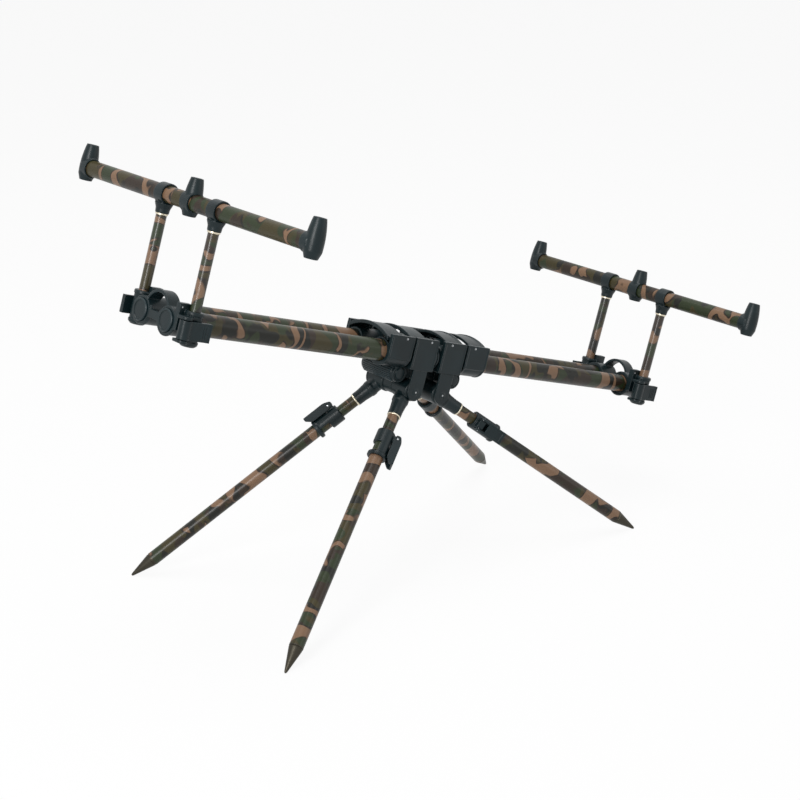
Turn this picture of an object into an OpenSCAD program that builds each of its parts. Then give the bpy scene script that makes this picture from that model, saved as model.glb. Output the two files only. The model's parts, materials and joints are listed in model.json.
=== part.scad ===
// Rod pod: a folding four-legged stand that holds three fishing rods on two buzz bars.
// Millimetres. In the pod's own frame +X runs along the main bars from the front buzz bar to
// the rear one, +Y goes to the far side and +Z is square to the bars. The finished pod stands
// on its four spikes with its front end raised, so the whole of it leans by one pitch angle.

/* [Main bars] */
// Outer diameter of a front main bar
front_bar_d = 25; // [25:0.5:27]
// Outer diameter of a rear main bar, which slides inside a front one
rear_bar_d = 22; // [19:0.5:22]
// Wall of the main bars
bar_wall = 1.2; // [0.8:0.1:1.2]
// Distance between the axes of the near and the far bar
bar_spacing = 49; // [48:0.5:56]
// Distance from the middle of the hub to the uprights, front and rear
upright_x = 365; // [330:5:450]
// How far the rear bars reach into the front bars from the middle of the hub
rear_bar_reach = 325; // [250:5:330]

/* [Hub] */
// Gap between the front and the rear leg block
hub_gap = 10; // [9:0.5:16]
// Length of one bar clamp along the bar
clamp_len = 36; // [32:1:42]
// Slot between the two clamps of a block
clamp_slot = 3; // [2:0.5:6]
// Wall of a clamp ring round the bar
ring_wall = 3; // [2.5:0.25:4]
// Thickness of the outer cheek that carries the cam lever pins
cheek_t = 5; // [4:0.25:6]
// Thickness of the web that ties the two rings below the bars
web_t = 6; // [4:0.5:8]

/* [Cam levers] */
// Diameter of a cam lever pin
pin_d = 3; // [2.5:0.25:3.5]
// Distance of a lever pin from the inner end of its clamp
pin_inset = 12; // [9:0.5:14]
// Radius of the cam nose round the lever pin
nose_r = 3.2; // [2.9:0.1:3.6]
// Length of lever that stands past the outer end of its clamp
lever_tail = 2.5; // [1:0.25:2.5]
// Thickness of the arched lever
arch_t = 3.4; // [2.5:0.1:4]
// Height of a lever's crest above its pins
arch_rise = 8; // [6:0.5:10]
// Width of a lever's feet, which turn on the pins
foot_w = 7; // [5:0.5:9]

/* [Leg joint] */
// Distance of the leg pin from the middle of the hub, along the bars
pivot_x = 22; // [20:0.5:26]
// Distance of a leg's axis from the pod's middle plane at the leg pin
pivot_y = 21.5; // [20:0.5:22]
// Depth of the leg pin below the bar axes
pivot_drop = 42; // [41:0.5:48]
// Diameter of the leg pin
leg_pin_d = 6; // [5:0.5:8]
// Radius of the leg's knuckle
knuckle_r = 12.2; // [11:0.1:12.2]
// Width of the middle rib between the two knuckles
rib_w = 15; // [10:0.5:15]
// Radius of the ears that hold the leg pin
ear_r = 11; // [9:0.5:11]
// Thickness of the ears
ear_t = 3; // [2.5:0.25:3.5]
// Radius of the cross barrel above the legs
barrel_r = 12; // [10:0.2:12]
// Length of the cross barrel
barrel_len = 40; // [30:1:46]
// Depth of the barrel's axis below the clamp rings
barrel_sink = 8.5; // [7:0.5:8.5]

/* [Legs] */
// Angle of the front legs below the bars
front_leg_angle = 56.8; // [45:0.1:65]
// Angle of the rear legs below the bars
rear_leg_angle = 22.7; // [20:0.1:30]
// Sideways splay of each leg
leg_splay = 20.4; // [16:0.2:22]
// Length of a front leg from its pin to its tip
front_leg_len = 382; // [360:1:420]
// Length of a rear leg from its pin to its tip
rear_leg_len = 338; // [330:1:380]
// Outer diameter of the upper leg tube
leg_upper_d = 14; // [12:0.25:14]
// Outer diameter of the lower leg tube
leg_lower_d = 16.5; // [16.5:0.25:18]
// Wall of the leg tubes
leg_wall = 1; // [0.8:0.1:1.1]
// Length of the knuckle's sleeve from the leg pin
sleeve_len = 40; // [34:1:44]
// Outer radius of the sleeve
sleeve_r = 9.2; // [8.6:0.1:9.4]
// Distance of the lock collar from the leg pin
collar_start = 64; // [60:1:74]
// Length of the lock collar
collar_len = 36; // [34:1:42]
// Outer radius of the lock collar
collar_r = 10.8; // [10.4:0.1:11.4]
// Depth of the lower tube's end below the top of the collar
tube_stop = 16; // [14:0.5:18]
// Length of the spike's cone
spike_len = 33; // [26:1:40]
// Radius of the spike's tip
tip_r = 1.5; // [1:0.1:2.5]

/* [Leg lock lever] */
// Diameter of the leg lever's trunnion
trunnion_d = 4.4; // [3.6:0.2:5]
// Distance of the trunnion from the leg's axis
trunnion_out = 15; // [14:0.25:16]
// Distance of the trunnion from the top of the collar
trunnion_drop = 7; // [6:0.25:9]
// Width of the lug that carries the trunnion
lug_w = 11; // [10:0.25:12]
// Thickness of the leg lever's walls
leg_lever_t = 2.2; // [1.8:0.1:2.6]
// Length of the lever's tail below the collar
leg_lever_tail = 4; // [2:0.5:8]
// Turn of each lever about its leg, from the leg's own plane
front_near_turn = -132; // [-180:1:180]
front_far_turn = 40; // [-180:1:180]
rear_near_turn = -81; // [-180:1:180]
rear_far_turn = 108; // [-180:1:180]

/* [Buzz bars] */
// Outer diameter of a buzz bar
buzz_d = 18.5; // [17:0.25:19]
// Wall of the buzz bars and of the uprights
buzz_wall = 1.2; // [0.9:0.1:1.6]
// Height of the buzz bars above the main bars
buzz_z = 123; // [110:1:150]
// Distance of the front end rests from the middle plane
front_rest_y = 210; // [190:1:240]
// Distance of the rear end rests from the middle plane
rear_rest_y = 189; // [170:1:220]
// Distance of the uprights from the middle plane
upright_y = 49; // [48:0.5:52]
// Outer diameter of an upright
upright_d = 12; // [10:0.25:12.5]
// Height of a rest above the buzz bar's axis
rest_top = 26; // [24:0.5:32]
// Depth of a rest below the buzz bar's axis
rest_bottom = 15; // [14:0.5:18]
// Radius of a rest at its widest
rest_r = 10; // [9.5:0.25:12]
// Radius of a rest at its foot
rest_foot_r = 7; // [6:0.25:8.5]
// Height over which a rest tapers to its foot
rest_taper = 8; // [6:0.5:9]
// Radius of a rest at its top face
rest_top_r = 6.8; // [6.2:0.2:8]
// Diameter of the threaded hole in the top of a rest
thread_d = 9.52; // [8:0.01:9.52]
// Depth of the threaded hole
thread_depth = 13; // [10:0.5:13]
// Radius of the moulded rings round a buzz bar
tee_r = 11.8; // [11:0.1:12.5]
// Length of those rings along the buzz bar
tee_len = 15; // [12:0.5:18]
// Drop of a tee's neck below the buzz bar's axis
tee_drop = 21; // [19:0.5:26]

/* [End brackets] */
// Length of bracket inboard of the uprights
bracket_in = 14; // [12:0.5:18]
// Length of bracket outboard of the uprights
bracket_out = 16; // [14:0.5:20]
// Outer radius of the socket round an upright
socket_r = 9.5; // [8.8:0.1:10]
// Height of the socket above the bar axes
socket_up = 17; // [15:0.5:18]
// Depth of the socket below the bar axes
socket_down = 18; // [17:0.5:20]
// Distance of the clamp lever's pin from the upright, along the bars
clamp_pin_x = 15; // [15:0.5:17]
// Distance of the clamp lever's pin from the upright, outwards
clamp_pin_y = 9.5; // [9.5:0.25:11]
// Height of the clamp lever
clamp_lever_h = 20; // [16:0.5:20]
// Height of the clamp lever's top above the bar axes
clamp_lever_top = 8; // [6:0.5:9]
// Reach of the clamp lever past the upright
clamp_lever_reach = 15; // [13:0.5:20]
// Height of the bracket's arch above its rings
bracket_arch_rise = 12; // [9:0.5:14]
// Length of the bracket's arch along the bars
bracket_arch_len = 16; // [12:0.5:18]

/* [Fits] */
// Radial play of a tube that slides in a bore
slide_play = 0.08; // [0.05:0.01:0.15]
// Radial play of a lever on its pin
pin_play = 0.06; // [0.04:0.01:0.12]
// Side gap between a moving piece and the wall beside it
side_gap = 0.6; // [0.4:0.05:0.8]

/* [Hidden] */
$fn = 64;
// Overshoot of a cut past the face that it opens
over = 1;
bar_y = bar_spacing / 2;
front_bar_r = front_bar_d / 2;
rear_bar_r = rear_bar_d / 2;
front_bore_r = front_bar_r - bar_wall;
ring_r = front_bar_r + ring_wall;

// Clamp section, measured outwards from the middle plane and up from the bar axes
cheek_lap = 3.4;
cheek_skirt = 6;
cheek_y = bar_y + ring_r - cheek_lap;
lever_floor = ring_r + side_gap;
pin_z = lever_floor + nose_r;
cheek_top = pin_z + nose_r;
lever_y1 = cheek_y - side_gap;
lever_y0 = lever_y1 - foot_w;
arch_crest = pin_z + arch_rise;
arch_spring = lever_floor + pin_d / 2;
inner_start = hub_gap / 2;
outer_start = inner_start + clamp_len + clamp_slot;
block_end = outer_start + clamp_len;
pin_proud = 0.4;

// Bush at the mouth of each front bar
mouth_gap = 1;
mouth_x = inner_start - mouth_gap;
bush_flange_t = 6;
bush_flange_r = ring_r;
bush_len = 30;

// Leg joint
ear_y = cheek_y;
knuckle_y0 = rib_w / 2 + side_gap;
knuckle_y1 = ear_y - side_gap;
barrel_x = outer_start;
barrel_drop = ring_r + barrel_sink;
leg_pin_len = 2 * (ear_y + ear_t + pin_proud);

// Legs, measured along the leg from the pin
lower_start = collar_start + tube_stop;
plug_len = 12;
leg_spare = 26;
tube_floor = 14;
collar_flange = 5;
collar_flange_r = collar_r + 1;
window_wall = 2;
window_start = lower_start + window_wall;
window_end = collar_start + collar_len - collar_flange - window_wall / 2;
window_x = -window_wall;
trunnion_s = collar_start + trunnion_drop;
leg_lever_gap = 0.4;
leg_lever_sit = 0.2;
leg_cheek_y = lug_w / 2 + leg_lever_gap;
leg_lever_wall = 3.6;
leg_lever_brow = 2.6;
leg_lever_out = trunnion_out + trunnion_d / 2 + leg_lever_wall;
leg_lever_top = trunnion_s - trunnion_d / 2 - leg_lever_brow;
leg_lever_end = collar_start + collar_len + leg_lever_tail;
leg_lever_in = collar_r - leg_lever_sit;
leg_lever_chamfer = 3;
leg_lever_shoulder = 2.5;
leg_lever_curl = 8;

// Brackets
plug_t = 3;
plug_stem = 12;
plug_sink = 1;
bar_end = upright_x + bracket_out - plug_sink;
clamp_lever_z0 = clamp_lever_top - clamp_lever_h;
clamp_ear_t = 3.4;
clamp_ear_r = 6;
clamp_ear_z0 = clamp_lever_z0 - side_gap - clamp_ear_t;
clamp_pin_r = 2;
clamp_drum_r = 7;
clamp_plate_t = 4.4;
clamp_plate_in = socket_r + side_gap - clamp_pin_y;
bracket_web_t = 9;
bracket_lip = 2;
bracket_arch_half = bar_y - arch_t;
bracket_arch_x0 = bracket_lip - bracket_out;
bracket_cheek_t = 7.5;
bracket_cheek_len = bracket_out - bracket_lip;
bracket_cheek_top = ring_r + bracket_cheek_t;

// Buzz bars
neck_wall = 1.4;
neck_flare = 2.6;
rest_neck = 3;
rest_neck_step = 0.6;

// Stance: the four tips share one level, which sets the pitch and the height of the hub
function leg_angle(end) = end < 0 ? front_leg_angle : rear_leg_angle;
function leg_len(end) = end < 0 ? front_leg_len : rear_leg_len;
function lock_turn(end, side) = end < 0 ? (side < 0 ? front_near_turn : front_far_turn)
    : (side < 0 ? rear_near_turn : rear_far_turn);
function arc_r(half, sag) = (half * half + sag * sag) / (2 * sag);
function tip_run(end) = (leg_len(end) - tip_r) * cos(leg_splay);
function tip_x(end) = end * (pivot_x + tip_run(end) * cos(leg_angle(end)));
function tip_z(end) = -pivot_drop - tip_run(end) * sin(leg_angle(end));
pitch = atan((tip_z(1) - tip_z(-1)) / (tip_x(1) - tip_x(-1)));
hub_height = tip_r + tip_x(-1) * sin(pitch) - tip_z(-1) * cos(pitch);

// The origin lies below the middle of the outline, between the front clamp ears and the rear rests
back_x = (upright_x + rest_top_r) * cos(pitch) + (buzz_z + rest_top) * sin(pitch);
front_x = -(upright_x + clamp_pin_x + clamp_ear_r) * cos(pitch) + clamp_ear_z0 * sin(pitch);
stance_x = -(back_x + front_x) / 2;
echo(pitch = pitch, hub_height = hub_height, stance_x = stance_x);
echo(pin_z = pin_z, inner_pin = inner_start + pin_inset, outer_pin = outer_start + pin_inset);
echo(trunnion_s = trunnion_s, clamp_lever_z0 = clamp_lever_z0);

camo = "#4a4a30";
nylon = "#30373a";
steel = "#a8abad";
dark_metal = "#3d3f38";

// Shared placing modules

// Places the pod's own frame on the ground
module in_pod() {
    translate([stance_x, 0, hub_height]) rotate([0, pitch, 0]) children();
}

// Turns pieces drawn for the rear half to the front half
module at_end(end) {
    mirror([end < 0 ? 1 : 0, 0, 0]) children();
}

module both_sides() {
    children();
    mirror([0, 1, 0]) children();
}

// Extrudes a section drawn across the pod, as (Y, Z), along the bars
module along_x(x0, x1) {
    translate([x0, 0, 0]) rotate([90, 0, 90]) linear_extrude(x1 - x0) children();
}

// Extrudes a section drawn from the side, as (X, Z), across the pod
module along_y(y0, y1) {
    translate([0, y1, 0]) rotate([90, 0, 0]) linear_extrude(y1 - y0) children();
}

module rod_x(x0, x1, r) {
    translate([x0, 0, 0]) rotate([0, 90, 0]) cylinder(h = x1 - x0, r = r);
}

module rod_y(y0, y1, r) {
    translate([0, y0, 0]) rotate([-90, 0, 0]) cylinder(h = y1 - y0, r = r);
}

module tube(h, d, wall) {
    difference() {
        cylinder(h = h, d = d);
        translate([0, 0, -over]) cylinder(h = h + 2 * over, d = d - 2 * wall);
    }
}

// Frame of one leg: its pin at the origin and the leg's axis along +Z
module in_leg(end, side) {
    in_pod() translate([end * pivot_x, side * pivot_y, -pivot_drop])
        rotate([0, end * (90 + leg_angle(end)), 0]) rotate([-side * leg_splay, 0, 0]) children();
}

// Frame of one leg's lock: the lever lies along +X, and the lower leg can be turned to any angle
module in_lock(end, side) {
    in_leg(end, side) rotate([0, 0, lock_turn(end, side)]) children();
}

// Main bars

module front_bar(side) {
    color(camo) in_pod() translate([-bar_end, side * bar_y, 0]) rotate([0, 90, 0])
        tube(bar_end - mouth_x, front_bar_d, bar_wall);
}

module rear_bar(side) {
    color(camo) in_pod() translate([-rear_bar_reach, side * bar_y, 0]) rotate([0, 90, 0])
        tube(rear_bar_reach + bar_end, rear_bar_d, bar_wall);
}

// Plugs that close the outer ends of the bars
module bar_plugs(end, bar_r) {
    color(nylon) in_pod() at_end(end) both_sides() translate([0, bar_y, 0]) {
        rod_x(bar_end, bar_end + plug_t, bar_r);
        rod_x(bar_end - plug_stem, bar_end, bar_r - bar_wall);
    }
}

// Guide bushes in the mouths of the front bars, in which the rear bars slide
module bar_bushes() {
    color(nylon) in_pod() both_sides() translate([-mouth_x, bar_y, 0]) difference() {
        union() {
            rod_x(-bush_len, 0, front_bore_r);
            rod_x(0, bush_flange_t, bush_flange_r);
        }
        rod_x(-bush_len - over, bush_flange_t + over, rear_bar_r + slide_play);
    }
}

// Hub blocks

// Section of an arch of thickness t, drawn as (Y, Z): its crest, and the height at which it springs
module arch_section(half, crest, spring, t) {
    r = arc_r(half, crest - spring);
    translate([0, crest - r]) intersection() {
        difference() {
            circle(r);
            circle(r - t);
        }
        translate([-half, spring - crest + r - t]) square([2 * half, r + t]);
    }
}

// Section of one clamp across the pod: two rings, their cheeks and the lower web
module clamp_section(square_foot) {
    for (turn = [0, 1]) mirror([turn, 0]) {
        translate([bar_y, 0]) circle(ring_r);
        translate([cheek_y, -cheek_skirt]) square([cheek_t, cheek_skirt + cheek_top]);
        translate([0, -ring_r]) square([bar_y, web_t]);
        if (square_foot) translate([bar_y, -ring_r]) square([cheek_y + cheek_t - bar_y, ring_r]);
    }
}

// One ear of the leg joint, seen from the side
module ear_outline() {
    translate([pivot_x, -pivot_drop]) circle(ear_r);
    translate([pivot_x - ear_r, -pivot_drop]) square([2 * ear_r, pivot_drop - ring_r + web_t / 2]);
}

module block_body(bar_bore_r) {
    difference() {
        union() {
            along_x(inner_start, inner_start + clamp_len) clamp_section(true);
            along_x(outer_start, block_end) clamp_section(false);
            along_x(inner_start, block_end) translate([-rib_w / 2, -ring_r]) square([rib_w, web_t]);
            translate([barrel_x, 0, -barrel_drop]) rod_y(-barrel_len / 2, barrel_len / 2, barrel_r);
            along_y(-rib_w / 2, rib_w / 2) ear_outline();
            both_sides() along_y(ear_y, ear_y + ear_t) ear_outline();
        }
        both_sides() translate([0, bar_y, 0]) rod_x(0, block_end + over, bar_bore_r);
        translate([pivot_x, 0, -pivot_drop]) rod_y(-leg_pin_len, leg_pin_len, leg_pin_d / 2);
        for (start = [inner_start, outer_start]) translate([start + pin_inset, 0, pin_z])
            both_sides() rod_y(lever_y0, leg_pin_len, pin_d / 2);
    }
}

module block(end, bar_bore_r) {
    color(nylon) in_pod() at_end(end) block_body(bar_bore_r);
}

module lever_pins(end) {
    color(steel) in_pod() at_end(end) both_sides() for (start = [inner_start, outer_start])
        translate([start + pin_inset, 0, pin_z])
            rod_y(lever_y0, cheek_y + cheek_t + pin_proud, pin_d / 2);
}

module leg_pin(end) {
    color(steel) in_pod() translate([end * pivot_x, 0, -pivot_drop])
        rod_y(-leg_pin_len / 2, leg_pin_len / 2, leg_pin_d / 2);
}

// Cam lever of one clamp: an arch over both bars whose feet turn on pins in the cheeks
module cam_lever(end, start) {
    pin_x = start + pin_inset;
    color(nylon) in_pod() at_end(end) difference() {
        union() {
            along_x(pin_x, start + clamp_len + lever_tail) {
                arch_section(lever_y1, arch_crest, arch_spring, arch_t);
                for (turn = [0, 1]) mirror([turn, 0]) translate([lever_y1 - arch_t, lever_floor])
                    square([arch_t, arch_spring - lever_floor]);
            }
            both_sides() translate([pin_x, 0, pin_z]) rod_y(lever_y0, lever_y1, nose_r);
        }
        both_sides() translate([pin_x, 0, pin_z]) rod_y(lever_y0 - over, cheek_y, pin_d / 2 + pin_play);
    }
}

// End brackets, drawn for the front end and turned half round for the rear

module clamp_ear(z0) {
    translate([0, 0, z0]) linear_extrude(clamp_ear_t) {
        translate([-clamp_pin_x, -upright_y - clamp_pin_y]) circle(clamp_ear_r);
        translate([-clamp_pin_x - clamp_ear_r, -upright_y - clamp_pin_y])
            square([clamp_pin_x + clamp_ear_r, clamp_pin_y]);
    }
}

// Socket for one upright with the ears and the pin of its clamp lever
module upright_socket() {
    translate([0, -upright_y, -socket_down]) cylinder(h = socket_up + socket_down, r = socket_r);
    translate([-socket_r, -upright_y, -ring_r / 2]) cube([2 * socket_r, upright_y - bar_y, ring_r]);
    translate([-bracket_out, -cheek_y - bracket_cheek_t, -cheek_skirt])
        cube([bracket_cheek_len, bracket_cheek_t, cheek_skirt + bracket_cheek_top]);
    clamp_ear(clamp_lever_top + side_gap);
    clamp_ear(clamp_ear_z0);
    translate([-clamp_pin_x, -upright_y - clamp_pin_y, clamp_ear_z0])
        cylinder(h = clamp_lever_h + 2 * (side_gap + clamp_ear_t), r = clamp_pin_r);
}

module bracket_body(bar_r) {
    difference() {
        union() {
            along_x(-bracket_out, bracket_in) {
                for (turn = [0, 1]) mirror([turn, 0]) translate([bar_y, 0]) circle(ring_r);
                translate([-bar_y, -bracket_web_t / 2]) square([2 * bar_y, bracket_web_t]);
            }
            along_x(bracket_arch_x0, bracket_arch_x0 + bracket_arch_len)
                arch_section(bracket_arch_half, ring_r + bracket_arch_rise, ring_r - arch_t / 2, arch_t);
            for (turn = [0, 180]) rotate([0, 0, turn]) upright_socket();
        }
        both_sides() translate([0, bar_y, 0]) rod_x(-2 * bracket_out, 2 * bracket_out, bar_r);
        both_sides() translate([0, upright_y, -2 * socket_down])
            cylinder(h = 4 * socket_down, r = upright_d / 2 + slide_play);
    }
}

module in_bracket(end) {
    in_pod() translate([end * upright_x, 0, 0]) rotate([0, 0, end < 0 ? 0 : 180]) children();
}

module bracket(end, bar_r) {
    color(nylon) in_bracket(end) bracket_body(bar_r);
}

// Lever that clamps one upright: a drum on its pin and a flat handle along the bar
module clamp_lever(end, side) {
    turned = (end < 0) == (side > 0);
    color(nylon) in_bracket(end) rotate([0, 0, turned ? 180 : 0])
        translate([-clamp_pin_x, -upright_y - clamp_pin_y, clamp_lever_z0]) difference() {
            linear_extrude(clamp_lever_h) {
                circle(clamp_drum_r);
                translate([0, -clamp_plate_in - clamp_plate_t])
                    square([clamp_pin_x + clamp_lever_reach, clamp_plate_t]);
            }
            translate([0, 0, -over]) cylinder(h = clamp_lever_h + 2 * over, r = clamp_pin_r + pin_play);
        }
}

// Buzz bars

module at_buzz(end) {
    in_pod() translate([end * upright_x, 0, buzz_z]) children();
}

module buzz_bar(end, rest_y) {
    color(camo) at_buzz(end) difference() {
        rod_y(over - rest_y, rest_y - over, buzz_d / 2);
        rod_y(-rest_y, rest_y, buzz_d / 2 - buzz_wall);
    }
}

// Both uprights of one buzz bar
module uprights(end) {
    top = buzz_z - buzz_d / 2 - side_gap;
    bottom = -socket_down - over;
    color(camo) in_pod() both_sides() translate([end * upright_x, upright_y, bottom])
        tube(top - bottom, upright_d, buzz_wall);
}

// Tees that join the uprights to the buzz bar
module tees(end) {
    color(nylon) at_buzz(end) both_sides() translate([0, upright_y, 0]) difference() {
        union() {
            rod_y(-tee_len / 2, tee_len / 2, tee_r);
            translate([0, 0, -tee_drop])
                cylinder(h = tee_drop, r1 = upright_d / 2 + neck_wall, r2 = upright_d / 2 + neck_flare);
        }
        rod_y(-tee_len, tee_len, buzz_d / 2);
        translate([0, 0, -tee_drop - over]) cylinder(h = tee_drop, r = upright_d / 2);
    }
}

// Barrel of a rest, turned about its own upright axis, with the threaded hole in its top
module rest_barrel() {
    bulge = (rest_top * rest_top + pow(rest_r - rest_top_r, 2)) / (2 * (rest_r - rest_top_r));
    difference() {
        rotate_extrude() intersection() {
            translate([rest_r - bulge, 0]) circle(bulge, $fn = 256);
            polygon([
                [0, -rest_bottom], [rest_foot_r, -rest_bottom], [rest_r, rest_taper - rest_bottom],
                [rest_r, rest_top], [0, rest_top]
            ]);
        }
        translate([0, 0, rest_top - thread_depth]) cylinder(h = thread_depth + over, d = thread_d);
    }
}

// The three rests of one buzz bar: one at each end and one in the middle
module rests(end, rest_y) {
    color(nylon) at_buzz(end) {
        both_sides() translate([0, rest_y, 0]) difference() {
            union() {
                rest_barrel();
                rod_y(-tee_len / 2 - rest_neck, 0, tee_r - rest_neck_step);
            }
            rod_y(-tee_len, -over, buzz_d / 2);
        }
        difference() {
            union() {
                rest_barrel();
                rod_y(-tee_len / 2, tee_len / 2, tee_r);
            }
            rod_y(-tee_len, tee_len, buzz_d / 2);
        }
    }
}

// Legs

// Knuckle on the leg pin and the splayed sleeve that holds the upper tube
module leg_socket(end, side) {
    color(nylon) difference() {
        union() {
            in_pod() mirror([0, side < 0 ? 1 : 0, 0]) translate([end * pivot_x, 0, -pivot_drop])
                rod_y(knuckle_y0, knuckle_y1, knuckle_r);
            in_leg(end, side) cylinder(h = sleeve_len, r = sleeve_r);
        }
        in_pod() translate([end * pivot_x, 0, -pivot_drop])
            rod_y(-leg_pin_len, leg_pin_len, leg_pin_d / 2 + pin_play);
        in_leg(end, side) translate([0, 0, tube_floor])
            cylinder(h = sleeve_len, r = leg_upper_d / 2);
    }
}

module leg_upper_tube(end, side) {
    reach = leg_len(end) - spike_len - plug_len - leg_spare;
    color(camo) in_leg(end, side) translate([0, 0, tube_floor])
        tube(reach - tube_floor, leg_upper_d, leg_wall);
}

module leg_lower_tube(end, side) {
    color(camo) in_leg(end, side) translate([0, 0, lower_start])
        tube(leg_len(end) - spike_len - lower_start, leg_lower_d, leg_wall);
}

module leg_spike(end, side) {
    base = leg_len(end) - spike_len;
    color(dark_metal) in_leg(end, side) {
        translate([0, 0, base - plug_len]) cylinder(h = plug_len, r = leg_lower_d / 2 - leg_wall);
        translate([0, 0, base]) cylinder(h = spike_len - tip_r, r1 = leg_lower_d / 2, r2 = tip_r);
        translate([0, 0, leg_len(end) - tip_r]) sphere(tip_r);
    }
}

// Lock collar on top of the lower tube, with the lug and trunnion of its lever
module leg_collar(end, side) {
    trunnion_half = leg_cheek_y + leg_lever_t + pin_proud;
    color(nylon) in_lock(end, side) difference() {
        union() {
            translate([0, 0, collar_start]) cylinder(h = collar_len, r = collar_r);
            translate([0, 0, collar_start + collar_len - collar_flange])
                cylinder(h = collar_flange, r = collar_flange_r);
            translate([0, -lug_w / 2, trunnion_s - trunnion_d])
                cube([trunnion_out + trunnion_d / 2, lug_w, 2 * trunnion_d]);
            translate([trunnion_out, 0, trunnion_s])
                rod_y(-trunnion_half, trunnion_half, trunnion_d / 2);
        }
        translate([0, 0, collar_start - over]) cylinder(h = collar_len, r = leg_upper_d / 2 + slide_play);
        translate([0, 0, lower_start]) cylinder(h = collar_len, r = leg_lower_d / 2);
        translate([-2 * collar_r, -collar_r, window_start])
            cube([2 * collar_r + window_x, 2 * collar_r, window_end - window_start]);
    }
}

// Side view of the lock lever, as (distance from the leg's axis, distance along the leg)
module lock_lever_outline() {
    polygon([
        [trunnion_out - leg_lever_shoulder, leg_lever_top],
        [leg_lever_out - leg_lever_chamfer, leg_lever_top],
        [leg_lever_out, trunnion_s + leg_lever_chamfer],
        [leg_lever_out, leg_lever_end],
        [leg_lever_out - leg_lever_t, leg_lever_end],
        [leg_lever_out - leg_lever_curl, leg_lever_end - leg_lever_tail],
        [leg_lever_in, leg_lever_end - leg_lever_tail - leg_lever_t],
        [leg_lever_in, trunnion_s + leg_lever_shoulder]
    ]);
}

// Lock lever: two cheeks astride the lug and a web across their outer edge
module leg_lock_lever(end, side) {
    half = leg_cheek_y + leg_lever_t;
    web_top = trunnion_s + trunnion_d + leg_lever_chamfer;
    color(nylon) in_lock(end, side) difference() {
        union() {
            both_sides() along_y(leg_cheek_y, half) lock_lever_outline();
            translate([leg_lever_out - leg_lever_t, -half, web_top])
                cube([leg_lever_t, 2 * half, leg_lever_end - web_top]);
        }
        translate([trunnion_out, 0, trunnion_s]) rod_y(-half - over, half + over, trunnion_d / 2 + pin_play);
    }
}

// Drawn nodes

front_bar(-1);  // front_bar_near
front_bar(1);  // front_bar_far
bracket(-1, front_bar_r);  // front_bracket
bar_plugs(-1, front_bar_r);  // front_bar_plugs
block(-1, front_bar_r);  // front_block
lever_pins(-1);  // front_lever_pins
leg_pin(-1);  // front_leg_pin
bar_bushes();
rear_bar(-1);  // rear_bar_near
rear_bar(1);  // rear_bar_far
bracket(1, rear_bar_r);  // rear_bracket
bar_plugs(1, rear_bar_r);  // rear_bar_plugs
block(1, rear_bar_r + slide_play);  // rear_block
lever_pins(1);  // rear_lever_pins
leg_pin(1);  // rear_leg_pin
cam_lever(-1, inner_start);  // front_inner_lever
cam_lever(-1, outer_start);  // front_outer_lever
cam_lever(1, inner_start);  // rear_inner_lever
cam_lever(1, outer_start);  // rear_outer_lever
buzz_bar(-1, front_rest_y);  // front_buzz_bar
uprights(-1);  // front_uprights
tees(-1);  // front_tees
rests(-1, front_rest_y);  // front_rests
buzz_bar(1, rear_rest_y);  // rear_buzz_bar
uprights(1);  // rear_uprights
tees(1);  // rear_tees
rests(1, rear_rest_y);  // rear_rests
clamp_lever(-1, -1);  // front_clamp_lever_near
clamp_lever(-1, 1);  // front_clamp_lever_far
clamp_lever(1, -1);  // rear_clamp_lever_near
clamp_lever(1, 1);  // rear_clamp_lever_far
leg_socket(-1, -1);  // front_near_socket
leg_upper_tube(-1, -1);  // front_near_upper_tube
leg_lower_tube(-1, -1);  // front_near_lower_tube
leg_collar(-1, -1);  // front_near_collar
leg_spike(-1, -1);  // front_near_spike
leg_lock_lever(-1, -1);  // front_near_lock_lever
leg_socket(-1, 1);  // front_far_socket
leg_upper_tube(-1, 1);  // front_far_upper_tube
leg_lower_tube(-1, 1);  // front_far_lower_tube
leg_collar(-1, 1);  // front_far_collar
leg_spike(-1, 1);  // front_far_spike
leg_lock_lever(-1, 1);  // front_far_lock_lever
leg_socket(1, -1);  // rear_near_socket
leg_upper_tube(1, -1);  // rear_near_upper_tube
leg_lower_tube(1, -1);  // rear_near_lower_tube
leg_collar(1, -1);  // rear_near_collar
leg_spike(1, -1);  // rear_near_spike
leg_lock_lever(1, -1);  // rear_near_lock_lever
leg_socket(1, 1);  // rear_far_socket
leg_upper_tube(1, 1);  // rear_far_upper_tube
leg_lower_tube(1, 1);  // rear_far_lower_tube
leg_collar(1, 1);  // rear_far_collar
leg_spike(1, 1);  // rear_far_spike
leg_lock_lever(1, 1);  // rear_far_lock_lever
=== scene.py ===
"""Looks of a folding rod pod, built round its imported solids.

Lengths are millimetres unless a name says otherwise, and MM turns them into the scene's metres.
The pod's own frame has X along the main bars towards the rear, Y to the far side and Z square to
the bars. It leans on its four legs, so every place is worked out in that frame first.
"""
import json
import math

import bmesh
import bpy
from mathutils import Matrix, Vector


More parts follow.
